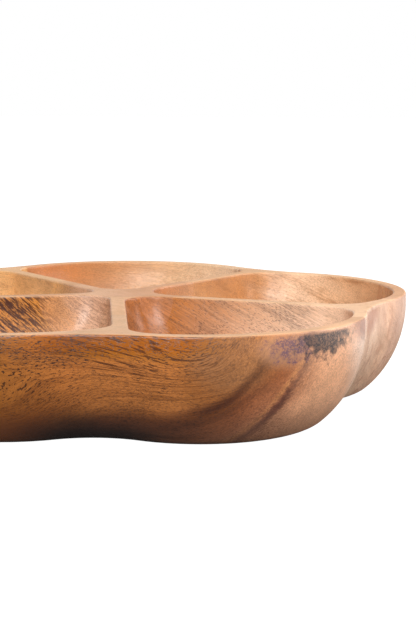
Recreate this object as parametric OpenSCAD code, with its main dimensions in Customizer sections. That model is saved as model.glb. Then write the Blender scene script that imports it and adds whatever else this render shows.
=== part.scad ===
// A flower-shaped serving bowl with five pockets, carved out of a slab of
// edge-glued boards. The grain and the glue lines run along X.
// The origin is on the hub's axis, in the plane of the base, with +Z up.

/* [Outline] */
// Distance from the hub's axis to the farthest point of a lobe's rim
lobe_reach = 152.4; // [146:0.2:165]
// Radius of each lobe's arc at the rim
lobe_r = 80.5; // [76:0.5:86]
// Radius of the hollow between two lobes at the rim
valley_r = 101; // [85:1:120]
// Height from the base to the flat top
bowl_h = 52; // [48:0.5:56]

/* [Outer wall] */
// How far below the top the wall is widest
belly_drop = 5; // [2:0.5:9]
// How far the wall's curve would run inwards, if it went on to its lowest point
wall_sweep = 46.5; // [38:0.5:52]
// How far that lowest point would lie below the widest place
wall_drop = 55; // [55:0.5:70]
// Rounding where the wall meets the base
foot_r = 3; // [1:0.5:5]

/* [Pockets] */
// Width of the rim between the outer wall and a pocket
rim_w = 6.6; // [5.5:0.1:10]
// Depth of the pockets below the top
pocket_d = 38; // [30:0.5:41]
// How far a pocket's floor is drawn in from the rim
rim_draw = 25; // [18:0.5:28]
// How far a pocket's floor is drawn in from its dividers
divider_draw = 19; // [12:0.5:22]
// Radius of a pocket's corner beside the hub
hub_corner_r = 14; // [11:0.5:18]
// The same for the pocket on the right, which the carver left rounder
right_hub_corner_r = 22; // [18:0.5:25]
// The same for the pocket on the left, which reaches nearer to the hub's axis
left_hub_corner_r = 11.5; // [9:0.5:14]
// Radius of a pocket's two corners beside the rim
rim_corner_r = 19; // [15:0.5:24]
// Softening of the edges round the top
edge_r = 1; // [0.5:0.1:2]

/* [Dividers] */
// Width of each divider at the top
divider_w = 7.4; // [6:0.1:11]
// Degrees by which the carver turned the front divider off its valley
front_turn = 5.6; // [-6:0.1:6]
// The same for the divider on the right
right_turn = -1; // [-6:0.1:6]
// The same for the divider at the back on the right
back_right_turn = 2; // [-6:0.1:6]
// The same for the divider at the back on the left
back_left_turn = -1; // [-6:0.1:6]
// The same for the divider on the left
left_turn = -3; // [-6:0.1:6]

/* [Boards] */
// Width of wood that the front board gives to the two front lobes
front_board_w = 61.7; // [54:0.1:68]
// Width of wood that the back board gives to the back lobe
back_board_w = 40.4; // [34:0.1:48]
// Place along Y of the glue line in front of the hub
hub_line_y = -14; // [-24:0.5:-6]

/* [Hidden] */

lobes = 5;
fifth = 360 / lobes;
half = fifth / 2;
front = -90;
turns = [front_turn, right_turn, back_right_turn, back_left_turn, left_turn];
hub_corners = [hub_corner_r, right_hub_corner_r, hub_corner_r, left_hub_corner_r, hub_corner_r];
overrun = 4;

// Places along Y of the glue lines, from the front: the last but one is halfway
front_line_y = front_board_w - (lobe_reach - lobe_r) * cos(half) - lobe_r;
back_line_y = lobe_reach - back_board_w;
glue_lines = [front_line_y, hub_line_y, (hub_line_y + back_line_y) / 2, back_line_y];

// As the wall draws in, a lobe's arc and a valley's arc tighten by these shares of the draw
lobe_tighten_share = 1.13;
valley_tighten_share = 2.8;
// A pocket's corners open out with depth by these shares of the draw from its dividers
hub_open_share = 0.6;
rim_open_share = 0.1;
// A corner takes at most this share of the room that the walls beside it leave
corner_room_share = 0.9;

// Faces along each arc and down each curve
lobe_steps = 22;
valley_steps = 8;
wall_steps = 9;
edge_steps = 3;
pocket_rim_steps = 20;
pocket_corner_steps = 7;
pocket_wall_steps = 8;

function polar(r, a) = [r * cos(a), r * sin(a)];
function bearing(v) = atan2(v.y, v.x);
function after(a, b) = b - 360 * floor((b - a) / 360);
function arc(c, r, a, b, steps) = [for (i = [0 : steps]) c + polar(r, a + (b - a) * i / steps)];

// How far a quarter ellipse has drawn in at a share of its drop
function ellipse_draw(draw, drop_share) = draw * (1 - sqrt(1 - pow(drop_share, 2)));

// The closed outline of five lobe arcs and the five valley arcs that touch them
function flower(reach, lobe, valley) =
    let (
        c = reach - lobe,
        w = c * cos(half) + sqrt(pow(lobe + valley, 2) - pow(c * sin(half), 2)),
        near_lobe = polar(c, half),
        to_lobe = bearing(near_lobe - [w, 0]),
        to_valley = bearing([w, 0] - near_lobe)
    )
    [for (k = [0 : lobes - 1])
        let (
            turn = front + fifth * k,
            hollow = arc(polar(w, turn), valley, turn + 360 - to_lobe, turn + to_lobe, valley_steps)
        )
        each concat(
            [for (i = [1 : valley_steps - 1]) hollow[i]],
            arc(polar(c, turn + half), lobe, turn + to_valley, turn + fifth - to_valley, lobe_steps)
        )];

// The outer wall's draw at a drop below the top, and the outline there
function wall_draw(drop) =
    ellipse_draw(wall_sweep, (drop - belly_drop) / wall_drop)
    - ellipse_draw(wall_sweep, belly_drop / wall_drop);
function wall_ring(drop, shaved) =
    let (
        draw = wall_draw(drop),
        lobe = lobe_r - lobe_tighten_share * draw,
        valley = valley_r - valley_tighten_share * draw,
        reach = lobe_reach - draw
    )
    level(flower(reach - shaved, lobe - shaved, valley + shaved), bowl_h - drop);
function level(outline, z) = [for (p = outline) [p.x, p.y, z]];

// The outer wall's rings from the top edge down to the base
function wall_rings() =
    let (
        high = asin((edge_r - belly_drop) / wall_drop),
        low = asin((bowl_h - foot_r - belly_drop) / wall_drop)
    )
    concat(
        [for (i = [0 : edge_steps - 1])
            let (a = 90 * i / edge_steps)
            wall_ring(edge_r * (1 - cos(a)), edge_r * (1 - sin(a)))],
        [for (i = [0 : wall_steps])
            wall_ring(belly_drop + wall_drop * sin(high + (low - high) * i / wall_steps), 0)],
        [for (i = [1 : edge_steps])
            let (a = 90 * i / edge_steps)
            wall_ring(bowl_h - foot_r * (1 - sin(a)), foot_r * (1 - cos(a)))]
    );

// A pocket's outline: the lobe's circle cut by two dividers, with rounded corners.
// k counts the lobes from the front divider, and the draws are the distances that
// the outline has moved in from the rim and from the dividers.
function pocket_ring(k, from_rim, from_divider, drop) =
    let (
        lobe = polar(lobe_reach - lobe_r, front + fifth * k + half),
        r = lobe_r - rim_w - from_rim,
        gap = divider_w / 2 + from_divider,
        a = front + fifth * k + turns[k],
        b = front + fifth * (k + 1) + turns[(k + 1) % lobes],
        wedge = (b - a) / 2,
        rim_room = ((r + norm(lobe)) * sin(wedge) - gap) / (1 + sin(wedge)),
        rim_corner = min(rim_corner_r + rim_open_share * from_divider, corner_room_share * rim_room),
        corner_a = rim_corner_centre(lobe, r, rim_corner, gap, polar(1, a), polar(1, a + 90)),
        corner_b = rim_corner_centre(lobe, r, rim_corner, gap, polar(1, b), polar(1, b - 90)),
        hub_room = min(corner_a * polar(1, a), corner_b * polar(1, b)) * tan(wedge) - gap,
        hub_corner = min(hub_corners[k] + hub_open_share * from_divider, corner_room_share * hub_room),
        hub_centre = polar((gap + hub_corner) / sin(wedge), (a + b) / 2),
        to_a = bearing(corner_a - lobe),
        to_b = after(to_a, bearing(corner_b - lobe))
    )
    level(
        concat(
            arc(corner_a, rim_corner, a - 90, after(a - 90, to_a), pocket_corner_steps),
            skip_first(arc(lobe, r, to_a, to_b, pocket_rim_steps)),
            skip_first(arc(corner_b, rim_corner, to_b, after(to_b, b + 90), pocket_corner_steps)),
            arc(hub_centre, hub_corner, b + 90, a + 270, pocket_corner_steps)
        ),
        bowl_h - drop
    );
function skip_first(points) = [for (i = [1 : len(points) - 1]) points[i]];

// Centre of the corner circle that touches the divider's side and the lobe's circle
function rim_corner_centre(lobe, r, corner, gap, along, inward) =
    let (
        foot = inward * (gap + corner) - lobe,
        run = foot * along
    )
    lobe + foot + along * (sqrt(run * run - foot * foot + pow(r - corner, 2)) - run);

// A pocket's rings from above the top down to its floor
function pocket_rings(k) =
    concat(
        [pocket_ring(k, -edge_r, -edge_r, -overrun)],
        [for (i = [0 : edge_steps - 1])
            let (a = 90 * i / edge_steps, shaved = edge_r * (1 - sin(a)))
            pocket_ring(k, -shaved, -shaved, edge_r * (1 - cos(a)))],
        [for (i = [0 : pocket_wall_steps])
            let (a = 90 * i / pocket_wall_steps)
            pocket_ring(k, rim_draw * (1 - cos(a)), divider_draw * (1 - cos(a)),
                edge_r + (pocket_d - edge_r) * sin(a))]
    );

// A closed solid through a stack of rings, from the top one down, with a fan at each end
module loft(rings) {
    n = len(rings[0]);
    last = len(rings) - 1;
    middle = [for (ring = [rings[0], rings[last]]) [for (i = [1 : n]) 1] * ring / n];
    points = concat([for (ring = rings) each ring], middle);
    top = n * (last + 1);
    sides = [for (j = [0 : last - 1], i = [0 : n - 1])
        let (a = n * j + i, b = n * j + (i + 1) % n)
        each [[a, b, a + n], [b, b + n, a + n]]];
    caps = [for (i = [0 : n - 1])
        let (b = (i + 1) % n)
        each [[top, b, i], [top + 1, n * last + i, n * last + b]]];
    polyhedron(points, concat(sides, caps));
}

// One board of the slab, counted from the front. The outer two run on past the bowl.
module board(i) {
    past = 2 * lobe_reach;
    edges = concat([-past], glue_lines, [past]);
    difference() {
        intersection() {
            loft(wall_rings());
            translate([-past, edges[i], -overrun])
                cube([2 * past, edges[i + 1] - edges[i], bowl_h + 2 * overrun]);
        }
        for (k = [0 : lobes - 1])
            loft(pocket_rings(k));
    }
}

module front_board() color("#A9692F") board(0);
module front_middle_board() color("#B9743B") board(1);
module hub_board() color("#C99877") board(2);
module back_middle_board() color("#D29159") board(3);
module back_board() color("#DCA26C") board(4);

front_board();
front_middle_board();
hub_board();
back_middle_board();
back_board();
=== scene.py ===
import bmesh
import bpy
import numpy as np
from mathutils import Matrix
from mathutils.geometry import delaunay_2d_cdt


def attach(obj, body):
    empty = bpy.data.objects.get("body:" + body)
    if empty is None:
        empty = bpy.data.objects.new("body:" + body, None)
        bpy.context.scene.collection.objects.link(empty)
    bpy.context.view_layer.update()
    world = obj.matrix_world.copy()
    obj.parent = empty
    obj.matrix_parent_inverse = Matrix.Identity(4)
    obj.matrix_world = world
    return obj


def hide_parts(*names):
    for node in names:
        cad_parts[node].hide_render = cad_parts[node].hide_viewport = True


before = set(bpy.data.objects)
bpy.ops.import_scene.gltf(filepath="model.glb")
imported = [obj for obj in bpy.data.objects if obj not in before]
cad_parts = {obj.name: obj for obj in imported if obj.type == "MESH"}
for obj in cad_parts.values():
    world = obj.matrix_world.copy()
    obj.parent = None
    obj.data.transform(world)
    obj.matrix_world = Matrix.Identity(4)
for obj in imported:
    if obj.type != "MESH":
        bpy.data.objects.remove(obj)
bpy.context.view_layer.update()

# The carved slab
# Five boards of acacia are edge-glued into a slab, and the bowl is carved out of it as one: a wall
# with five lobes, and five pockets with dividers between them. The top is then sanded flat, so the
# rim, the dividers and the hub share one plane.

# The outline at the rim: five lobe arcs, and the valley arcs that touch them
LOBES = 5
LOBE_REACH = 0.1524
LOBE_R = 0.0805
VALLEY_R = 0.101
FIFTH = 2 * np.pi / LOBES
FRONT = -np.pi / 2
LOBE_POINTS = 113
VALLEY_POINTS = 37


def flower(reach, lobe, valley):
    """Each level's outline from its three radii. A lobe's centre lies on its lobe's axis, its radius
    short of the reach, and a valley's centre lies on the valley's axis, both radii away from the
    lobes' centres, so that the arcs touch."""
    reach, lobe, valley = (np.reshape(r, (-1, 1, 1)) for r in (reach, lobe, valley))
    half = FIFTH / 2
    c = reach - lobe
    w = c * np.cos(half) + np.sqrt((lobe + valley) ** 2 - (c * np.sin(half)) ** 2)
    to_lobe = np.arctan2(c * np.sin(half), c * np.cos(half) - w)
    to_valley = np.arctan2(-c * np.sin(half), w - c * np.cos(half))
    turn = FRONT + FIFTH * np.arange(LOBES).reshape(1, -1, 1)
    along_valley = np.linspace(0, 1, VALLEY_POINTS)[1:-1].reshape(1, 1, -1)
    along_lobe = np.linspace(0, 1, LOBE_POINTS).reshape(1, 1, -1)
    hollow = turn + 2 * np.pi - to_lobe + 2 * (to_lobe - np.pi) * along_valley
    bulge = turn + to_valley + (FIFTH - 2 * to_valley) * along_lobe
    x = np.concatenate([w * np.cos(turn) + valley * np.cos(hollow),
                        c * np.cos(turn + half) + lobe * np.cos(bulge)], axis=2)
    y = np.concatenate([w * np.sin(turn) + valley * np.sin(hollow),
                        c * np.sin(turn + half) + lobe * np.sin(bulge)], axis=2)
    return np.stack([x, y], axis=-1).reshape(len(reach), -1, 2)


# The outer wall: widest a little below the top, then drawn in on an ellipse down to the foot. As
# it draws in, a lobe's arc and a valley's arc tighten by these shares of the draw.
BOWL_H = 0.052
BELLY_DROP = 0.005
WALL_SWEEP = 0.0465
WALL_DROP = 0.055
FOOT_R = 0.003
EDGE_R = 0.001
LOBE_TIGHTEN_SHARE = 1.13
VALLEY_TIGHTEN_SHARE = 2.8
WALL_POINTS = 61
EDGE_POINTS = 9


def lifted(outline, drop):
    """Each level's outline at its drop below the top: a grid of rings by points."""
    z = np.broadcast_to(BOWL_H - np.reshape(drop, (-1, 1, 1)), outline.shape[:2] + (1,))
    return np.concatenate([outline, z], axis=2)


def ellipse_draw(drop):
    """How far the wall's quarter ellipse has drawn in at a drop below its widest place."""
    return WALL_SWEEP * (1 - np.sqrt(1 - (drop / WALL_DROP) ** 2))


def outer_wall():
    """The wall's rings: a quarter circle at the top edge, a quarter ellipse down the wall, and a
    quarter circle into the base. A ring's reach shrinks by the ellipse's draw, and its lobe and
    valley arcs tighten in step with it."""
    turn = np.linspace(0, np.pi / 2, EDGE_POINTS)
    high = np.arcsin((EDGE_R - BELLY_DROP) / WALL_DROP)
    low = np.arcsin((BOWL_H - FOOT_R - BELLY_DROP) / WALL_DROP)
    down = BELLY_DROP + WALL_DROP * np.sin(np.linspace(high, low, WALL_POINTS))
    drop = np.concatenate([EDGE_R * (1 - np.cos(turn[:-1])), down,
                           BOWL_H - FOOT_R * (1 - np.sin(turn[1:]))])
    shaved = np.concatenate([EDGE_R * (1 - np.sin(turn[:-1])), 0 * down,
                             FOOT_R * (1 - np.cos(turn[1:]))])
    draw = ellipse_draw(drop - BELLY_DROP) - ellipse_draw(BELLY_DROP)
    return lifted(flower(LOBE_REACH - draw - shaved,
                         LOBE_R - LOBE_TIGHTEN_SHARE * draw - shaved,
                         VALLEY_R - VALLEY_TIGHTEN_SHARE * draw + shaved), drop)


# The pockets, counted round from the front divider. The carver turned each divider a few degrees
# off its valley, and left each pocket its own corner beside the hub. The corners open out with
# depth by these shares of the draw from the dividers.
RIM_W = 0.0066
POCKET_D = 0.038
RIM_DRAW = 0.025
DIVIDER_DRAW = 0.019
DIVIDER_W = 0.0074
DIVIDER_TURNS = np.radians([5.6, -1.0, 2.0, -1.0, -3.0])
HUB_CORNERS = [0.014, 0.022, 0.014, 0.0115, 0.014]
RIM_CORNER_R = 0.019
HUB_OPEN_SHARE = 0.6
RIM_OPEN_SHARE = 0.1
POCKET_WALL_POINTS = 49
RIM_ARC_POINTS = 91
RIM_CORNER_POINTS = 25
HUB_CORNER_POINTS = 33
SIDE_POINTS = 42
FLOOR_POINTS = 9


def column(values):
    """One value for each level, as a column beside that level's points."""
    return np.reshape(values, (-1, 1))


def ray(angle):
    """The vector of length 1 at an angle."""
    return np.array([np.cos(angle), np.sin(angle)])


def bearing(arrows):
    """The angle of each level's arrow."""
    return np.arctan2(arrows[:, 1], arrows[:, 0])


def after(a, b):
    """The angle b, taken at or after the angle a."""
    return b - 2 * np.pi * np.floor((b - a) / (2 * np.pi))


def arc(centre, r, a, b, points):
    """Each level's arc round its centre: its radius times the ray at angles from a to b."""
    angle = column(a) + (column(b) - column(a)) * np.linspace(0, 1, points)
    return centre[:, None] + column(r)[..., None] * np.stack([np.cos(angle), np.sin(angle)], -1)


def side(start, end):
    """Each level's straight side from the end of one arc to the start of the next."""
    t = np.linspace(0, 1, SIDE_POINTS)[1:-1].reshape(1, -1, 1)
    return start[:, -1:] * (1 - t) + end[:, :1] * t


def rim_corner_centre(lobe, r, corner, gap, along, inward):
    """Centre of the corner that touches a divider's side and the lobe's circle: it lies the gap and
    its own radius off the divider's middle line, and its own radius inside the circle."""
    foot = column(gap + corner) * inward - lobe
    run = foot @ along
    reach = np.sqrt(run ** 2 - (foot ** 2).sum(1) + (r - corner) ** 2) - run
    return lobe + foot + column(reach) * along


def pocket(k):
    """A pocket's rings: the lobe's circle cut by two dividers with rounded corners, softened at the
    top edge and then drawn in on a quarter ellipse down to the floor."""
    turn = np.linspace(0, np.pi / 2, EDGE_POINTS)[:-1]
    fall = np.linspace(0, np.pi / 2, POCKET_WALL_POINTS)
    drop = np.concatenate([EDGE_R * (1 - np.cos(turn)), EDGE_R + (POCKET_D - EDGE_R) * np.sin(fall)])
    shaved = np.concatenate([-EDGE_R * (1 - np.sin(turn)), 0 * fall])
    sink = np.concatenate([0 * turn, 1 - np.cos(fall)])
    from_divider = shaved + DIVIDER_DRAW * sink
    r = LOBE_R - RIM_W - shaved - RIM_DRAW * sink
    gap = DIVIDER_W / 2 + from_divider
    rim_r = RIM_CORNER_R + RIM_OPEN_SHARE * from_divider
    hub_r = HUB_CORNERS[k] + HUB_OPEN_SHARE * from_divider

    lobe = (LOBE_REACH - LOBE_R) * ray(FRONT + FIFTH * (k + 0.5))
    a = FRONT + FIFTH * k + DIVIDER_TURNS[k]
    b = FRONT + FIFTH * (k + 1) + DIVIDER_TURNS[(k + 1) % LOBES]
    centre_a = rim_corner_centre(lobe, r, rim_r, gap, ray(a), ray(a + np.pi / 2))
    centre_b = rim_corner_centre(lobe, r, rim_r, gap, ray(b), ray(b - np.pi / 2))
    hub = column((gap + hub_r) / np.sin((b - a) / 2)) * ray((a + b) / 2)
    to_a = bearing(centre_a - lobe)
    to_b = after(to_a, bearing(centre_b - lobe))
    to_divider_a = np.full_like(r, a - np.pi / 2)
    to_divider_b = np.full_like(r, b + np.pi / 2)

    corner_a = arc(centre_a, rim_r, to_divider_a, after(to_divider_a, to_a), RIM_CORNER_POINTS)
    rim = arc(np.broadcast_to(lobe, centre_a.shape), r, to_a, to_b, RIM_ARC_POINTS)[:, 1:]
    corner_b = arc(centre_b, rim_r, to_b, after(to_b, to_divider_b), RIM_CORNER_POINTS)[:, 1:]
    corner_hub = arc(hub, hub_r, to_divider_b, to_divider_a + 2 * np.pi, HUB_CORNER_POINTS)
    outline = [corner_a, rim, corner_b, side(corner_b, corner_hub),
               corner_hub, side(corner_hub, corner_a)]
    return lifted(np.concatenate(outline, axis=1), drop)


def with_floor(rings):
    """A pocket's rings with its floor's added, each the last one shrunk towards its middle, and
    that middle by itself."""
    middle = rings[-1].mean(0)
    shrink = np.linspace(1, 0, FLOOR_POINTS)[1:-1].reshape(-1, 1, 1)
    return np.concatenate([rings, middle + (rings[-1] - middle) * shrink]), middle


# The surfaces that faces lie on. A face that a cut adds starts with the first of these marks.
SAWN = 0
TOP_PLANE = 1
BASE_PLANE = 2
CARVED = 3


def ring_quads(rings, around, first, inwards):
    """The quads between neighbouring rings of a closed grid, wound to face out of the wood."""
    i, j = np.meshgrid(np.arange(rings - 1), np.arange(around), indexing="ij")
    a = i * around + j
    b = i * around + (j + 1) % around
    quads = np.stack([a, b, b + around, a + around], -1).reshape(-1, 4) + first
    return quads if inwards else quads[:, ::-1]


def fan(ring, tip):
    """The triangles from a closed ring to a point."""
    return np.stack([ring, np.roll(ring, -1), np.full(len(ring), tip)], -1)


# The fill of the flat top keeps what lies inside its outlines, and joins points this close
INSIDE_ONLY = 1
FILL_GRAIN = 1e-9


def flat_top(points, rims):
    """The flat top's triangles: what lies inside the outer rim and in none of the pockets' rims."""
    outline = np.concatenate(rims)
    ends = np.cumsum([0] + [len(rim) for rim in rims])
    loops = [list(range(a, b)) for a, b in zip(ends[:-1], ends[1:])]
    flat = [tuple(point) for point in points[outline, :2]]
    filled = delaunay_2d_cdt(flat, [], loops, INSIDE_ONLY, FILL_GRAIN)
    return outline[np.array([face for face, owner in zip(filled[2], filled[5]) if owner == [0]])]


def carve_slab():
    """The whole carved slab: its points, the last of them in the middle of the base, and its faces
    in blocks, each with the surface that it lies on."""
    wall = outer_wall()
    levels, around = wall.shape[:2]
    points = [wall.reshape(-1, 3)]
    blocks = [(CARVED, ring_quads(levels, around, 0, False))]
    rims = [np.arange(around)]
    foot = (levels - 1) * around + np.arange(around)
    start = levels * around
    for k in range(LOBES):
        grid, middle = with_floor(pocket(k))
        rings, around = grid.shape[:2]
        last = start + (rings - 1) * around + np.arange(around)
        tip = start + rings * around
        points += [grid.reshape(-1, 3), middle[None]]
        blocks += [(CARVED, ring_quads(rings, around, start, True)), (CARVED, fan(last, tip))]
        rims.append(start + np.arange(around))
        start = tip + 1
    points = np.concatenate([*points, np.zeros((1, 3))])
    blocks.append((TOP_PLANE, flat_top(points, rims)))
    blocks.append((BASE_PLANE, fan(foot[::-1], start)))
    return points, blocks


SLAB_POINTS, SLAB_BLOCKS = carve_slab()

# The front board
# The front of the two front lobes: acacia with golden sapwood near the rim, dark heartwood low on
# the right lobe and pinkish wood beyond it. It is edge-glued to the front middle board.

# The glue line at its back lies where the front lobes get this width of wood from it
FRONT_BOARD_W = 0.0617
FRONT_LINE = FRONT_BOARD_W - (LOBE_REACH - LOBE_R) * np.cos(FIFTH / 2) - LOBE_R

# How close to a saw cut a point may lie and still count as on it
SAW_GRAIN = 1e-7


def slab_between(y_from, y_to):
    """The slab's faces that reach between two planes of Y, and each one's mark."""
    faces, marks = [], []
    for mark, block in SLAB_BLOCKS:
        y = SLAB_POINTS[block][..., 1]
        reaches = (y.max(1) > y_from) & (y.min(1) < y_to)
        faces += block[reaches].tolist()
        marks += [mark] * int(reaches.sum())
    return faces, marks


def saw(bm, y, way):
    """Cuts off what lies beyond a plane of Y, and closes the cut with flat faces that look out."""
    cut = bmesh.ops.bisect_plane(bm, geom=bm.verts[:] + bm.edges[:] + bm.faces[:], dist=SAW_GRAIN,
                                 plane_co=(0, y, 0), plane_no=(0, way, 0), clear_outer=True)
    edges = [part for part in cut["geom_cut"] if isinstance(part, bmesh.types.BMEdge)]
    made = bmesh.ops.triangle_fill(bm, edges=edges, use_beauty=True, normal=(0, way, 0))
    for face in made["geom"]:
        if isinstance(face, bmesh.types.BMFace):
            face.normal_update()
            if face.normal.y * way < 0:
                face.normal_flip()


def smooth(mesh):
    """Smooth shading, but sharp along the edges where faces of two surfaces meet."""
    surface = np.zeros(len(mesh.polygons), int)
    mesh.attributes["surface"].data.foreach_get("value", surface)
    mesh.attributes.remove(mesh.attributes["surface"])
    corners = np.zeros(len(mesh.polygons), int)
    mesh.polygons.foreach_get("loop_total", corners)
    edge = np.zeros(len(mesh.loops), int)
    mesh.loops.foreach_get("edge_index", edge)
    lowest = np.full(len(mesh.edges), CARVED)
    highest = np.full(len(mesh.edges), SAWN)
    np.minimum.at(lowest, edge, np.repeat(surface, corners))
    np.maximum.at(highest, edge, np.repeat(surface, corners))
    mesh.shade_smooth()
    sharp = mesh.attributes.new("sharp_edge", "BOOLEAN", "EDGE")
    sharp.data.foreach_set("value", lowest != highest)


def board(name, y_from=-np.inf, y_to=np.inf):
    """One board: the slab's part between two glue lines, with flat sawn faces there. The outer
    boards have a glue line on one side only."""
    faces, marks = slab_between(y_from, y_to)
    mesh = bpy.data.meshes.new(name)
    mesh.from_pydata(SLAB_POINTS, [], faces)
    mesh.attributes.new("surface", "INT", "FACE").data.foreach_set("value", marks)
    bm = bmesh.new()
    bm.from_mesh(mesh)
    loose = [v for v in bm.verts if not v.link_faces]
    bmesh.ops.delete(bm, geom=loose, context="VERTS")
    for y, way in ((y_from, -1), (y_to, 1)):
        if np.isfinite(y):
            saw(bm, y, way)
    bm.to_mesh(mesh)
    bm.free()
    smooth(mesh)
    piece = bpy.data.objects.new(name, mesh)
    bpy.context.collection.objects.link(piece)
    return piece


def rgb(code):
    """A colour's linear values from its six-figure code, by the screen's standard curve."""
    v = np.array([int(code[i:i + 2], 16) for i in (0, 2, 4)]) / 255
    return (*np.where(v < 0.04045, v / 12.92, ((v + 0.055) / 1.055) ** 2.4).tolist(), 1.0)


def give(tree, socket, value):
    """Joins a socket to another node's output, or sets it to a value."""
    if isinstance(value, bpy.types.NodeSocket):
        tree.links.new(value, socket)
    else:
        socket.default_value = value


def node(tree, kind, inputs=None, **settings):
    """A node with its settings and inputs."""
    made = tree.nodes.new("ShaderNode" + kind)
    for key, value in settings.items():
        setattr(made, key, value)
    for key, value in (inputs or {}).items():
        give(tree, made.inputs[key], value)
    return made


def sums(tree, operation, *values):
    """One step of arithmetic on numbers."""
    return node(tree, "Math", dict(enumerate(values)), operation=operation).outputs[0]


def product(tree, first, *others):
    """Numbers multiplied together."""
    for other in others:
        first = sums(tree, "MULTIPLY", first, other)
    return first


def vectors(tree, operation, *values):
    """One step of arithmetic on vectors."""
    return node(tree, "VectorMath", dict(enumerate(values)), operation=operation).outputs["Vector"]


def scaled(tree, vector, factor):
    """A vector times a number."""
    return node(tree, "VectorMath", {0: vector, "Scale": factor}, operation="SCALE").outputs["Vector"]


def length(tree, vector):
    """A vector's length."""
    return node(tree, "VectorMath", {0: vector}, operation="LENGTH").outputs["Value"]


def span(tree, value, low, high, to_low=0.0, to_high=1.0):
    """A value carried smoothly from one span to another."""
    return node(tree, "MapRange", {"Value": value, "From Min": low, "From Max": high,
                                   "To Min": to_low, "To Max": to_high},
                interpolation_type="SMOOTHSTEP").outputs["Result"]


def stripe(tree, value, middle, inner, outer, amount):
    """A soft stripe: the full amount within inner of its middle, and nothing beyond outer."""
    off = sums(tree, "ABSOLUTE", sums(tree, "SUBTRACT", value, middle))
    return span(tree, off, inner, outer, amount, 0.0)


def noise(tree, place, per_mm, detail=2.0, rough=0.5):
    """A noise node, with its three frequencies per millimetre."""
    return node(tree, "TexNoise", {"Vector": vectors(tree, "MULTIPLY", place, per_mm), "Scale": 1.0,
                                   "Detail": detail, "Roughness": rough})


def clouds(tree, place, per_mm, detail=2.0, rough=0.5):
    """Noise from 0 to 1."""
    return noise(tree, place, per_mm, detail, rough).outputs["Fac"]


def swing(tree, clouded, width):
    """Noise that swings about zero, over a full width."""
    return product(tree, sums(tree, "SUBTRACT", clouded, 0.5), width)


def drift(tree, place, per_mm, widths, detail=2.0, rough=0.5):
    """A vector that wanders about zero, over a full width on each axis."""
    wander = noise(tree, place, per_mm, detail, rough).outputs["Color"]
    return vectors(tree, "MULTIPLY", vectors(tree, "SUBTRACT", wander, (0.5, 0.5, 0.5)), widths)


# A Mix node has several sockets of one name, so these are told by their numbers
NUMBER_A, NUMBER_B, NUMBER_OUT = 2, 3, 0
COLOUR_A, COLOUR_B, COLOUR_OUT = 6, 7, 2


def between(tree, factor, a, b):
    """Two numbers blended by a factor."""
    made = node(tree, "Mix", {"Factor": factor, NUMBER_A: a, NUMBER_B: b}, data_type="FLOAT")
    return made.outputs[NUMBER_OUT]


def mixed(tree, factor, a, b, blend="MIX"):
    """Two colours blended by a factor."""
    made = node(tree, "Mix", {"Factor": factor, COLOUR_A: a, COLOUR_B: b},
                data_type="RGBA", blend_type=blend)
    return made.outputs[COLOUR_OUT]


def layered(tree, colour, *layers):
    """A colour with others laid over it in turn: each layer is a mask and a colour's code."""
    for mask, code in layers:
        colour = mixed(tree, mask, colour, rgb(code))
    return colour


def shaded(tree, colour, shade):
    """A colour made lighter or darker, multiplied by a number."""
    grey = node(tree, "CombineColor", {0: shade, 1: shade, 2: shade}).outputs[0]
    return mixed(tree, 1.0, colour, grey, "MULTIPLY")


def tones(tree, value, stops):
    """A colour that runs smoothly through stops: each is a value and the colour's code there."""
    low, high = stops[0][0], stops[-1][0]
    share = sums(tree, "MULTIPLY_ADD", value, 1 / (high - low), -low / (high - low))
    made = node(tree, "ValToRGB", {"Fac": share})
    made.color_ramp.interpolation = "B_SPLINE"
    elements = made.color_ramp.elements
    for at, _ in stops[1:-1]:
        elements.new((at - low) / (high - low))
    for element, (_, code) in zip(elements, stops):
        element.color = rgb(code)
    return made.outputs["Color"]


def new_group(name, takes, gives):
    """A new node group, told by the names and kinds of what it takes and what it gives. It comes back
    as its tree, with what it takes as sockets to read and what it gives as sockets to fill."""
    tree = bpy.data.node_groups.new(name, "ShaderNodeTree")
    for way, sockets in (("INPUT", takes), ("OUTPUT", gives)):
        for label, kind in sockets.items():
            tree.interface.new_socket(label, in_out=way, socket_type="NodeSocket" + kind)
    return tree, tree.nodes.new("NodeGroupInput").outputs, tree.nodes.new("NodeGroupOutput").inputs


# The wood's patterns are told in millimetres, and so is the flat top's height among them
MM = 1000.0
TOP = BOWL_H * MM


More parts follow.
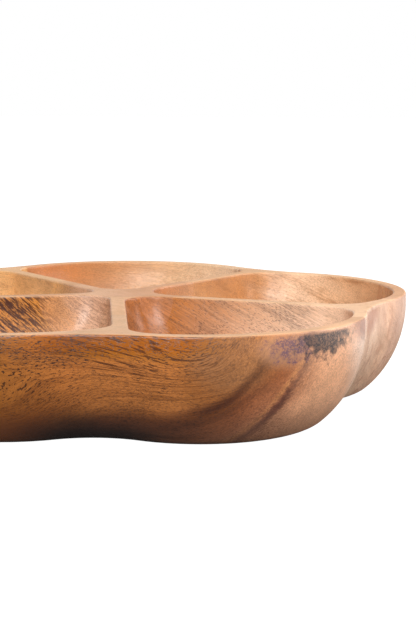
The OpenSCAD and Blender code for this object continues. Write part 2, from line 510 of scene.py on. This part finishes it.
def acacia_grain():
    """The wood's structure as a solid pattern. Place is in millimetres, with X along the fibres and Z
    across the growth layers. The layers' bands and lines, the fibres and the pores are noise
    stretched along X, and the fibres wave slowly."""
    gives = ("Bands", "Lines", "Fibres", "Pores", "Streaks", "Mottle", "Height")
    tree, taken, given = new_group("acacia_grain", {"Place": "Vector", "Waviness": "Float"},
                                   dict.fromkeys(gives, "Float"))
    place = taken["Place"]
    sway = drift(tree, place, (0.008, 0.02, 0.02), (0.0, 16.0, 16.0))
    bent = vectors(tree, "ADD", place, scaled(tree, sway, taken["Waviness"]))
    mottle = clouds(tree, place, (0.05, 0.06, 0.06), 3.0, 0.55)
    uneven = swing(tree, mottle, 0.3)
    fibres = clouds(tree, bent, (0.08, 1.6, 2.4), 2.0, 0.6)
    dashes = clouds(tree, bent, (0.6, 2.2, 3.0), 1.0, 0.4)
    pores = span(tree, sums(tree, "ADD", dashes, uneven), 0.56, 0.64)
    long_dashes = clouds(tree, bent, (0.06, 0.8, 1.2), 2.0, 0.45)
    give(tree, given["Bands"], clouds(tree, bent, (0.004, 0.04, 0.2), 3.0, 0.6))
    give(tree, given["Lines"], clouds(tree, bent, (0.012, 0.3, 1.0), 3.0, 0.65))
    give(tree, given["Fibres"], fibres)
    give(tree, given["Pores"], pores)
    give(tree, given["Streaks"], span(tree, sums(tree, "SUBTRACT", long_dashes, uneven), 0.54, 0.64))
    give(tree, given["Mottle"], mottle)
    give(tree, given["Height"], sums(tree, "SUBTRACT", product(tree, fibres, 0.3), pores))
    return tree


def wood_figure():
    """A board's colour with its growth lines, its fibres, its mottle and its pores worked in."""
    takes = dict.fromkeys(("Colour", "Line Tone", "Pore Tone"), "Color")
    takes.update(dict.fromkeys(("Bands", "Lines", "Fibres", "Mottle", "Pores"), "Float"))
    takes.update(dict.fromkeys(("Line Amount", "Pore Amount"), "Float"))
    tree, taken, given = new_group("wood_figure", takes, {"Colour": "Color"})
    lined = sums(tree, "ADD", product(tree, taken["Bands"], 0.5), product(tree, taken["Lines"], 0.5))
    lined = product(tree, span(tree, lined, 0.46, 0.62), taken["Line Amount"])
    colour = mixed(tree, lined, taken["Colour"], taken["Line Tone"])
    shade = product(tree, span(tree, taken["Fibres"], 0.25, 0.75, 0.84, 1.14),
                    span(tree, taken["Mottle"], 0.3, 0.7, 1.08, 0.92))
    colour = shaded(tree, colour, shade)
    porous = product(tree, taken["Pores"], taken["Pore Amount"])
    give(tree, given["Colour"], mixed(tree, porous, colour, taken["Pore Tone"]))
    return tree


def satin_finish():
    """The satin finish's share in a board's colour and roughness. It is duller where the pores are.
    The flat top is sanded last, so it is drier. It is paler, partly as sanded wood and partly as a
    painted sheen of the light on it. The finish is thin near the foot."""
    takes = {"Place": "Vector", "Colour": "Color", "Top Tone And Sheen": "Color",
             "Mottle": "Float", "Pores": "Float", "Smoother": "Float"}
    tree, taken, given = new_group("satin_finish", takes, {"Colour": "Color", "Roughness": "Float"})
    z = node(tree, "SeparateXYZ", {0: taken["Place"]}).outputs["Z"]
    top = span(tree, z, TOP - 0.5, TOP - 0.05)
    # The flat top's paler tone is partly sanded wood and partly painted sheen
    give(tree, given["Colour"], mixed(tree, product(tree, top, 0.6), taken["Colour"], taken["Top Tone And Sheen"]))
    dry = sums(tree, "MULTIPLY_ADD", top, 0.3, span(tree, z, 2, 22, 0.35, 0.0))
    dry = sums(tree, "SUBTRACT", dry, taken["Smoother"])
    dry = sums(tree, "MULTIPLY_ADD", taken["Pores"], 0.15, dry)
    mottled = span(tree, taken["Mottle"], 0.2, 0.8, 0.25, 0.33)
    give(tree, given["Roughness"], sums(tree, "ADD", mottled, dry))
    return tree


# The middle of a soft spot that has its full amount, as a share of the whole spot
SPOT_CORE_SHARE = 0.45


def soft_spot():
    """A soft mask round a centre: the full amount in an ellipsoid's core, fading to nothing at its
    surface. The centre and the three half widths are in millimetres."""
    takes = {"Place": "Vector", "Centre": "Vector", "Size": "Vector", "Amount": "Float"}
    tree, taken, given = new_group("soft_spot", takes, {"Mask": "Float"})
    off = vectors(tree, "SUBTRACT", taken["Place"], taken["Centre"])
    away = length(tree, vectors(tree, "DIVIDE", off, taken["Size"]))
    give(tree, given["Mask"], span(tree, away, SPOT_CORE_SHARE, 1.0, taken["Amount"], 0.0))
    return tree


GRAIN = acacia_grain()
FIGURE = wood_figure()
SATIN = satin_finish()
SPOT = soft_spot()


def bare_wood(name):
    """A new material, its tree with no shader yet, and Object coordinates there in millimetres."""
    material = bpy.data.materials.new(name)
    material.use_nodes = True
    tree = material.node_tree
    tree.nodes.clear()
    return material, tree, scaled(tree, node(tree, "TexCoord").outputs["Object"], MM)


def grain_at(tree, place, waviness=1.0):
    """The grain's structure at a place."""
    return node(tree, "Group", {"Place": place, "Waviness": waviness}, node_tree=GRAIN).outputs


def figured(tree, grain, colour, line_tone, line_amount, pore_tone, pore_amount=0.7):
    """A board's colour with the wood's figure in it."""
    inputs = {name: grain[name] for name in ("Bands", "Lines", "Fibres", "Mottle", "Pores")}
    inputs.update({"Colour": colour, "Line Tone": rgb(line_tone), "Line Amount": line_amount,
                   "Pore Tone": rgb(pore_tone), "Pore Amount": pore_amount})
    return node(tree, "Group", inputs, node_tree=FIGURE).outputs["Colour"]


def spot(tree, place, centre, size, amount=1.0):
    """A soft mask round a centre."""
    return node(tree, "Group", {"Place": place, "Centre": centre, "Size": size, "Amount": amount},
                node_tree=SPOT).outputs["Mask"]


def below_top(tree, z):
    """A soft mask of what lies below the flat top and its edge."""
    return span(tree, z, TOP - 2.5, TOP - 0.5, 1.0, 0.0)


# A board's top tone is its flat top's paler colour, partly sanded wood and partly a painted sheen
def lacquer(tree, place, grain, colour, top_tone_and_sheen="EABC90", smoother=0.0):
    """The shader of a lacquered board: satin, and a little sunk where the pores are."""
    satin = node(tree, "Group", {"Place": place, "Colour": colour, "Top Tone And Sheen": rgb(top_tone_and_sheen),
                                 "Mottle": grain["Mottle"], "Pores": grain["Pores"],
                                 "Smoother": smoother}, node_tree=SATIN).outputs
    bump = node(tree, "Bump", {"Height": grain["Height"], "Strength": 0.2, "Distance": 0.0002})
    shader = node(tree, "BsdfPrincipled", {"Base Color": satin["Colour"], "Roughness": satin["Roughness"],
                                           "IOR": 1.48, "Normal": bump.outputs["Normal"]})
    node(tree, "OutputMaterial", {"Surface": shader.outputs[0]})


# The layers' rise to the right: a curve through these places along X and heights, in millimetres.
# It is drawn in a frame that it crosses from the low corner to the high one.
RISE = ((-22, -8), (-3, 6), (4, 12), (20, 16), (41.5, 20.5), (58.3, 28), (67.2, 36.6), (75.1, 43.3),
        (89.6, 44.8))
RISE_FROM = -60
RISE_RUN = 180
RISE_LOW = -20
RISE_CLIMB = 80

# The layers' heights are told over a plane that slopes up towards the back by this share. It
# starts at the table, this far in front of the hub's axis.
SLOPE_SHARE = 0.8
SLOPE_FOOT = 127

# Two lines of the figure, a bright one and a dark one, run steeper than the layers and cross that
# plane at these places along X
STEEP_SHARE = 1.28
BRIGHT_AT = 63
DARK_AT = 68

# A front lobe's axis, and the radius from it to halfway through the wall, which grows with height
# by this share up to the rim
LOBE_AXIS = MM * (LOBE_REACH - LOBE_R) * np.array([np.sin(FIFTH / 2), -np.cos(FIFTH / 2), 0])
WALL_FOOT_R = 54.3
WALL_RIM_R = 76.5
WALL_FLARE_SHARE = 0.55

wood, tree, place = bare_wood("front_acacia")
x, y, z = node(tree, "SeparateXYZ", {0: place}).outputs

# The course of the layers, which lie nearly level high on the left
climb = sums(tree, "MULTIPLY_ADD", x, 1 / RISE_RUN, -RISE_FROM / RISE_RUN)
climb = node(tree, "FloatCurve", {"Value": climb})
for at, up in RISE:
    climb.mapping.curves[0].points.new((at - RISE_FROM) / RISE_RUN, (up - RISE_LOW) / RISE_CLIMB)
climb.mapping.update()
rise = sums(tree, "MULTIPLY_ADD", climb.outputs["Value"], RISE_CLIMB, RISE_LOW)
slant = sums(tree, "SUBTRACT", z, sums(tree, "MULTIPLY_ADD", y, SLOPE_SHARE, SLOPE_SHARE * SLOPE_FOOT))
high_left = product(tree, span(tree, z, 18, 40), span(tree, x, 40, 100, 1, 0))
follow = between(tree, high_left, rise, product(tree, x, -0.17))
flow = node(tree, "CombineXYZ", {0: x, 1: y, 2: sums(tree, "SUBTRACT", slant, follow)}).outputs[0]
grain = grain_at(tree, flow, 0.45)

# The layers' colours, from the pinkish wood low down up to the sapwood, with the heart between
ripple = swing(tree, grain["Lines"], 9)
layer = sums(tree, "ADD", sums(tree, "SUBTRACT", slant, rise), ripple)
colour = tones(tree, layer, [(-36, "D69A72"), (-27, "B87650"), (-16, "A0603A"), (-6, "8E4E26"),
                             (4, "C0783C"), (14, "C0763A"), (30, "B46C32"), (40, "B06830")])
heart = product(tree, stripe(tree, layer, -6, 1, 11, 0.6), span(tree, z, 14, 36, 1.0, 0.15),
                span(tree, x, 10, 50, 0.4, 1.0))
core = product(tree, stripe(tree, layer, -1, 0.5, 7, 1.0), span(tree, z, 14, 46, 1.0, 0.4),
               span(tree, x, 28, 56, 0.25, 1.0))
heart = sums(tree, "MAXIMUM", core, heart)

# The two steep lines. The dark one is curly near the rim.
steep = sums(tree, "ADD", sums(tree, "SUBTRACT", slant, product(tree, x, STEEP_SHARE)), ripple)
bright = stripe(tree, steep, -STEEP_SHARE * BRIGHT_AT, 0, 4, 0.5)
curls = swing(tree, clouds(tree, place, (0.3, 0.3, 0.35), 3.0, 0.6), span(tree, z, 12, 40, 3, 20))
off = sums(tree, "ADD", sums(tree, "ABSOLUTE", sums(tree, "ADD", steep, STEEP_SHARE * DARK_AT)), curls)
dark_line = product(tree, span(tree, off, 0.5, 7, 0.88, 0.0), span(tree, z, 2, 20, 0.6, 1.0))

# The outer wall lies further from a lobe's axis than the pocket's wall does
mirrored = node(tree, "CombineXYZ", {0: sums(tree, "ABSOLUTE", x), 1: y}).outputs[0]
radius = length(tree, vectors(tree, "SUBTRACT", mirrored, LOBE_AXIS))
halfway = sums(tree, "MULTIPLY_ADD", z, WALL_FLARE_SHARE, WALL_FOOT_R)
halfway = sums(tree, "MINIMUM", halfway, WALL_RIM_R)
outside = span(tree, sums(tree, "SUBTRACT", radius, halfway), -2, 2)
inside = product(tree, sums(tree, "SUBTRACT", 1.0, outside), span(tree, x, -30, 20, 0.8, 0.0))

# The board's patches, from the steep lines to the plain brown wood in the pockets, with a painted shade
# under the rim at the right valley
under_lip = product(tree, span(tree, x, -10, 8), span(tree, x, 38, 54, 1, 0),
                    span(tree, z, 37, 46, 0, 0.85))
colour = layered(tree, colour,
                 (bright, "D08C54"),
                 (spot(tree, place, (60, -130, 6), (34, 44, 32), 0.45), "8A4C2A"),
                 (dark_line, "55281E"),
                 (span(tree, x, 80, 108, 0.0, 0.9), "DEA47C"),
                 (span(tree, x, 108, 126, 0.0, 0.85), "FADEC8"),
                 # painted shade on the wall under the rim at the right valley
                 (spot(tree, place, (117, -70, 51), (20, 34, 13), 0.8), "9A5630"),
                 (spot(tree, place, (50, -135, 32), (16, 30, 26), 0.5), "8E5424"),
                 (span(tree, x, -50, 5, 0.85, 0.0), "885018"),
                 (spot(tree, place, (0, -130, 48), (30, 24, 9), 0.9), "8A4E08"),
                 (under_lip, "9A5A0C"),
                 (spot(tree, place, (60, -133, 42), (24, 30, 20), 0.8), "986640"),
                 (inside, "BE7C3C"),
                 (heart, "441E0F"))

# Where the wall runs along the fibres, they show as streaks and ticks. The wood is golden under
# the lip, and below it the colour is made greyer and darker.
streaky = product(tree, grain["Streaks"], high_left, span(tree, x, -25, 5, 0.3, 0.85))
ticks = product(tree, grain["Pores"], high_left, span(tree, x, -15, 15, 0.75, 0.3))
long_grain = figured(tree, grain, colour, "6E3A14", 0.55, "2E1407")
long_grain = layered(tree, long_grain, (streaky, "4A240C"), (ticks, "2A1206"))
lip = product(tree, span(tree, z, 42, 47), span(tree, x, -40, -10, 0.0, 0.85),
              span(tree, x, 50, 78, 1, 0), outside)
long_grain = mixed(tree, lip, long_grain, rgb("FFE684"), "MULTIPLY")
below = product(tree, span(tree, z, 18, 36, 1, 0), span(tree, x, -40, -22, 0.0, 0.4),
                span(tree, x, 20, 50, 1, 0), outside)
long_grain = mixed(tree, below, long_grain, rgb("BEAC9C"), "MULTIPLY")

# The right lobe's wall cuts across the fibres, so they show there as fine specks
speck = product(tree, span(tree, clouds(tree, place, (1.2, 1.2, 1.2), 3.0, 0.75), 0.32, 0.68, 0.7, 1.2),
                span(tree, clouds(tree, place, (0.1, 0.1, 0.1)), 0.3, 0.7, 0.9, 1.1))
end_pores = product(tree, grain["Pores"], span(tree, x, 70, 96, 0.6, 0.0))
end_grain = layered(tree, shaded(tree, colour, speck), (end_pores, "3A1A0C"))
colour = mixed(tree, span(tree, x, 40, 74), long_grain, end_grain)

# The dark patch on the right lobe, with ragged edges and squiggles where it fades to violet
ragged = vectors(tree, "ADD", place, drift(tree, place, (0.25, 0.25, 0.3), (26.0, 26.0, 26.0), 4.0, 0.6))
squiggle = stripe(tree, clouds(tree, place, (0.55, 0.55, 0.6), 3.0, 0.6), 0.5, 0.01, 0.08, 1.0)
violet = product(tree, spot(tree, ragged, (86, -124, 46), (17, 17, 9)), below_top(tree, z),
                 sums(tree, "MULTIPLY_ADD", squiggle, 0.6, 0.25))
black = product(tree, spot(tree, ragged, (101, -112, 48), (22, 24, 11)), below_top(tree, z),
                sums(tree, "MULTIPLY_ADD", squiggle, 0.25, 0.72))
colour = layered(tree, colour,
                 (spot(tree, place, (82, -126, 46), (16, 18, 12), 0.5), "B88868"),
                 (violet, "523A52"),
                 (black, "0E0810"))

# The foot of the wall is darkened, darkest round the front valley. This is partly dark heartwood and
# partly painted shade where the wall curves in over the table.
low_left_dark_and_shade = product(tree, span(tree, z, 6, 28, 0.85, 0), span(tree, x, -30, 10, 1, 0), outside)
foot_dark_and_shade = product(tree, span(tree, z, 4, 20, 0.97, 0), span(tree, x, -55, -12),
                  span(tree, x, 10, 60, 1, 0.4))
foot_dark_and_shade = sums(tree, "MAXIMUM", foot_dark_and_shade, spot(tree, place, (-6, -125, 0), (34, 30, 22), 0.8))
foot_dark_and_shade = product(tree, foot_dark_and_shade, outside)
colour = layered(tree, colour, (low_left_dark_and_shade, "6A3208"), (foot_dark_and_shade, "1C0802"))
lacquer(tree, place, grain, colour, smoother=span(tree, x, 40, 80, 0.12, 0.0))

piece = board("front_board_wood", y_to=FRONT_LINE)
piece.data.materials.append(wood)
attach(piece, "root")
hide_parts("front_board")

# The front middle board
# Acacia whose layers lean and dive, so that they cross the two front pockets in slanted streaks, and
# run dark on the left. It is edge-glued between the front board and the hub board.

# The glue line at its back, just in front of the hub
HUB_LINE = -0.014

# This board and the hub board come from one log. Its grain is moved by these millimetres, and its
# layers lean and dive by these degrees.
MIDDLE_SHIFT = (40, 90, 10)
MIDDLE_LEAN = 33
MIDDLE_DIVE = 33

# How far the layers' bands sway the place where a layer comes up, in millimetres
BAND_SWAY = 30


def leaning(tree, place, shift, lean, dive):
    """A place moved within the board's log, and turned by the degrees that the growth layers lean
    along Y and dive along X."""
    return node(tree, "Mapping", {"Vector": place, "Location": shift,
                                  "Rotation": np.radians((lean, -dive, 0))}).outputs["Vector"]


def surfacing(tree, x, grain):
    """The place along X where a layer comes up: it sways with the layers' bands."""
    return sums(tree, "ADD", x, swing(tree, grain["Bands"], BAND_SWAY))


def middle_wood():
    """What the two boards in the middle share: their run of colours from left to right, with dark
    streaks on the left and veins on the right."""
    takes = {"Place": "Vector", "Bands": "Float", "Lines": "Float"}
    gives = {"Colour": "Color", "Streaks": "Float", "Veins": "Float"}
    tree, taken, given = new_group("middle_wood", takes, gives)
    x = node(tree, "SeparateXYZ", {0: taken["Place"]}).outputs["X"]
    stops = [(-150, "BC7A3C"), (-60, "C47C36"), (-42, "C07A34"), (-30, "C88846"), (-20, "D8A884"),
             (-10, "DCB090"), (-2, "D09E7A"), (8, "A45C26"), (24, "BA7230"), (36, "B27446"),
             (60, "C69068"), (100, "ECC2A0"), (122, "EEC6A6"), (146, "D69C76")]
    give(tree, given["Colour"], tones(tree, surfacing(tree, x, taken), stops))
    streaks = product(tree, span(tree, taken["Lines"], 0.43, 0.54), span(tree, x, -46, -22, 0.9, 0.0),
                      span(tree, x, -120, -80, 0.1, 1.0))
    give(tree, given["Streaks"], streaks)
    veins = span(tree, clouds(tree, taken["Place"], (0.3, 0.3, 0.03), 3.0, 0.6), 0.48, 0.66)
    give(tree, given["Veins"], product(tree, veins, span(tree, x, 108, 124, 0.0, 0.5)))
    return tree


MIDDLE = middle_wood()

wood, tree, place = bare_wood("front_middle_acacia")
x, y, z = node(tree, "SeparateXYZ", {0: place}).outputs
grain = grain_at(tree, leaning(tree, place, MIDDLE_SHIFT, MIDDLE_LEAN, MIDDLE_DIVE))
middle = node(tree, "Group", {"Place": place, "Bands": grain["Bands"], "Lines": grain["Lines"]},
              node_tree=MIDDLE).outputs
lines = product(tree, span(tree, x, -60, -25, 1.0, 0.45), span(tree, x, 80, 112, 1.0, 0.4))
pore_amount = span(tree, x, 80, 112, 0.55, 0.2)
colour = figured(tree, grain, middle["Colour"], "6A3C22", lines, "3A1C0B", pore_amount)
# A painted shade on the wall just under the rim in the right valley
right_valley_painted_shade = product(tree, spot(tree, place, (126, -52, 50), (16, 30, 14), 0.75), below_top(tree, z))
colour = layered(tree, colour,
                 (middle["Streaks"], "401C0E"),
                 (middle["Veins"], "A4603C"),
                 (right_valley_painted_shade, "A8643C"))
lacquer(tree, place, grain, colour)

piece = board("front_middle_board_wood", FRONT_LINE, HUB_LINE)
piece.data.materials.append(wood)
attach(piece, "root")
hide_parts("front_middle_board")

# The hub board
# A plainer board of acacia, a shade pinker than its neighbours, golden to the left of the hub and
# brown to its right. It is edge-glued between the two middle boards, and the flat hub is carved out
# of it.

# The glue line in front of the back board leaves this width of wood to the back lobe's rim, and the
# line at the hub board's back is halfway to it
BACK_BOARD_W = 0.0404
BACK_LINE = LOBE_REACH - BACK_BOARD_W
MIDDLE_LINE = (HUB_LINE + BACK_LINE) / 2

wood, tree, place = bare_wood("hub_acacia")
x, y, z = node(tree, "SeparateXYZ", {0: place}).outputs
grain = grain_at(tree, leaning(tree, place, MIDDLE_SHIFT, MIDDLE_LEAN, MIDDLE_DIVE))
middle = node(tree, "Group", {"Place": place, "Bands": grain["Bands"], "Lines": grain["Lines"]},
              node_tree=MIDDLE).outputs
behind = span(tree, y, -8, 6)
golden = product(tree, behind, span(tree, x, -40, -22, 1.0, 0.0))
tan = product(tree, behind, span(tree, x, 15, 50, 0.0, 0.8))
brown = product(tree, behind, span(tree, x, 36, 60), span(tree, x, 78, 94, 0.65, 0.0))
colour = layered(tree, middle["Colour"],
                 (0.2, "C89882"),
                 (golden, "DCA468"),
                 (tan, "C89060"),
                 (brown, "A4622F"))
lines = product(tree, span(tree, x, -60, -25, 1.0, 0.4), span(tree, y, -8, 6, 1.0, 0.35),
                span(tree, x, 80, 112, 1.0, 0.5))
pore_amount = span(tree, x, 80, 112, 0.4, 0.2)
colour = figured(tree, grain, colour, "6A3C22", lines, "4A2814", pore_amount)
streaks = product(tree, middle["Streaks"], span(tree, y, -8, 6, 1.0, 0.0))
colour = layered(tree, colour, (streaks, "401C0E"), (middle["Veins"], "A4603C"))
# The hub's flat top is painted paler, partly as sanded wood and partly as a painted sheen
lacquer(tree, place, grain, colour, top_tone_and_sheen="D8A67C")

piece = board("hub_board_wood", HUB_LINE, MIDDLE_LINE)
piece.data.materials.append(wood)
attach(piece, "root")
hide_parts("hub_board")

# The back middle board
# Golden acacia, with orange-brown wood in the right pocket. It is edge-glued between the hub board
# and the back board.

wood, tree, place = bare_wood("back_middle_acacia")
x = node(tree, "SeparateXYZ", {0: place}).outputs["X"]
grain = grain_at(tree, leaning(tree, place, (10, 60, 30), 12, 20))
colour = tones(tree, surfacing(tree, x, grain),
               [(-135, "E8B47C"), (-60, "DCA66C"), (0, "DCA670"), (45, "B47644"), (72, "C08450"),
                (86, "ECC09A"), (96, "F4CCA8"), (115, "E8B88C"), (135, "CC9466")])
colour = figured(tree, grain, colour, "945C2E", 0.4, "6A3E1C", 0.3)
lacquer(tree, place, grain, colour)

piece = board("back_middle_board_wood", MIDDLE_LINE, BACK_LINE)
piece.data.materials.append(wood)
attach(piece, "root")
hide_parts("back_middle_board")

# The back board
# The lightest of the boards, orange on the left and pale tan on the right. It is edge-glued to the
# back middle board, and most of it is carved away behind the back pocket.

wood, tree, place = bare_wood("back_acacia")
x = node(tree, "SeparateXYZ", {0: place}).outputs["X"]
grain = grain_at(tree, leaning(tree, place, (70, 30, 20), 25, 6))
colour = tones(tree, surfacing(tree, x, grain),
               [(-90, "BA7038"), (-45, "B46C38"), (0, "CE9866"), (30, "E8C096"), (60, "F4D2B0")])
colour = figured(tree, grain, colour, "A06438", 0.3, "7A4C28", 0.25)
lacquer(tree, place, grain, colour)

piece = board("back_board_wood", y_from=BACK_LINE)
piece.data.materials.append(wood)
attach(piece, "root")
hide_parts("back_board")

# The table
# A white table top that runs back past the horizon. In the wood's gloss it is white behind the bowl
# and on its right, and dim close to it and in front, so that the satin doesn't turn milky there.

TABLE_REACH = 9.0

mesh = bpy.data.meshes.new("floor")
mesh.from_pydata([(-TABLE_REACH, -TABLE_REACH, 0), (TABLE_REACH, -TABLE_REACH, 0),
                  (TABLE_REACH, TABLE_REACH, 0), (-TABLE_REACH, TABLE_REACH, 0)], [], [(0, 1, 2, 3)])
floor = bpy.data.objects.new("floor", mesh)
bpy.context.collection.objects.link(floor)
paper = bpy.data.materials.new("white_table")
paper.use_nodes = True
tree = paper.node_tree
tree.nodes.clear()
path = node(tree, "LightPath").outputs
place = node(tree, "TexCoord").outputs["Object"]
x, y, z = node(tree, "SeparateXYZ", {0: place}).outputs
far = product(tree, span(tree, length(tree, place), 0.2, 0.5), span(tree, y, -0.4, -0.1, 0.05, 1.0))
far = sums(tree, "MAXIMUM", far, span(tree, x, 0.14, 0.28))
seen = sums(tree, "MAXIMUM", path["Is Camera Ray"], product(tree, path["Is Glossy Ray"], far))
plain = node(tree, "BsdfDiffuse", {"Color": (0.24, 0.24, 0.24, 1)})
glow = node(tree, "Emission", {"Color": (1, 1, 1, 1), "Strength": 1.0})
white = node(tree, "AddShader", {0: plain.outputs[0], 1: glow.outputs[0]})
both = node(tree, "MixShader", {0: seen, 1: plain.outputs[0], 2: white.outputs[0]})
node(tree, "OutputMaterial", {"Surface": both.outputs[0]})
mesh.materials.append(paper)

# The room and its lights
# A white room, which is dim on the camera's side. The key light hangs high at the front, a weaker
# one stands on the right, and a cool one stands low at the front, a little to the left.

sky = bpy.data.worlds.new("white_room")
bpy.context.scene.world = sky
sky.use_nodes = True
tree = sky.node_tree
tree.nodes.clear()
path = node(tree, "LightPath").outputs
seen = sums(tree, "MAXIMUM", path["Is Camera Ray"], path["Is Glossy Ray"])
seen = sums(tree, "MAXIMUM", seen, path["Is Transmission Ray"])
toward = node(tree, "SeparateXYZ", {0: node(tree, "TexCoord").outputs["Generated"]}).outputs["Y"]
strength = between(tree, seen, 0.28, span(tree, toward, -0.5, 0.3, 0.3, 1.0))
back = node(tree, "Background", {"Color": (1, 1, 1, 1), "Strength": strength})
node(tree, "OutputWorld", {"Surface": back.outputs[0]})


def soft_light(name, direction, elevation, distance, width, height, watts, colour=(1, 1, 1)):
    """A soft light that faces the bowl. Its direction is a compass bearing from there, with north
    along Y, and its elevation is over the table, both in degrees."""
    lamp = bpy.data.lights.new(name, "AREA")
    lamp.shape = "RECTANGLE"
    lamp.size = width
    lamp.size_y = height
    lamp.energy = watts
    lamp.color = colour
    light = bpy.data.objects.new(name, lamp)
    bpy.context.collection.objects.link(light)
    az, el = np.radians((direction, elevation))
    away = np.array([np.sin(az) * np.cos(el), np.cos(az) * np.cos(el), np.sin(el)])
    across = np.cross((0, 0, 1), away)
    across /= np.linalg.norm(across)
    turn = np.column_stack([across, np.cross(away, across), away])
    light.matrix_world = Matrix.Translation(away * distance) @ Matrix(turn.tolist()).to_4x4()


soft_light("key_light", direction=165, elevation=44, distance=1.4, width=1.1, height=1.1, watts=14.0)
soft_light("right_light", direction=88, elevation=20, distance=1.2, width=1.0, height=1.0, watts=12.0)
soft_light("left_light", direction=-168, elevation=18, distance=1.2, width=0.8, height=0.4, watts=8.5,
           colour=(0.92, 0.97, 1.0))

# The camera
# It stands in front of the bowl and a little above it, as in the photograph, and the bowl runs out
# of the picture on the left. Its place, turns and focal length are fitted to the bowl's outlines.

CAMERA_AT = (0.065845, -0.767507, 0.152794)
TILT, ROLL, YAW = np.radians([8.169, -0.272, 1.436])
FOCUS_PX = 1521.26
PICTURE_H_PX = 624
SENSOR_MM = 36.0

right = np.array([np.cos(YAW), np.sin(YAW), 0])
ahead = np.array([-np.sin(YAW) * np.cos(TILT), np.cos(YAW) * np.cos(TILT), -np.sin(TILT)])
down = np.cross(ahead, right)
axes = [right * np.cos(ROLL) + down * np.sin(ROLL), right * np.sin(ROLL) - down * np.cos(ROLL), -ahead]
lens = bpy.data.cameras.new("camera")
lens.sensor_fit = "AUTO"
lens.sensor_width = SENSOR_MM
lens.lens = FOCUS_PX / PICTURE_H_PX * SENSOR_MM
camera = bpy.data.objects.new("camera", lens)
bpy.context.collection.objects.link(camera)
camera.matrix_world = Matrix.Translation(CAMERA_AT) @ Matrix(np.column_stack(axes).tolist()).to_4x4()
bpy.context.scene.camera = camera
bpy.context.scene.view_settings.view_transform = "Standard"
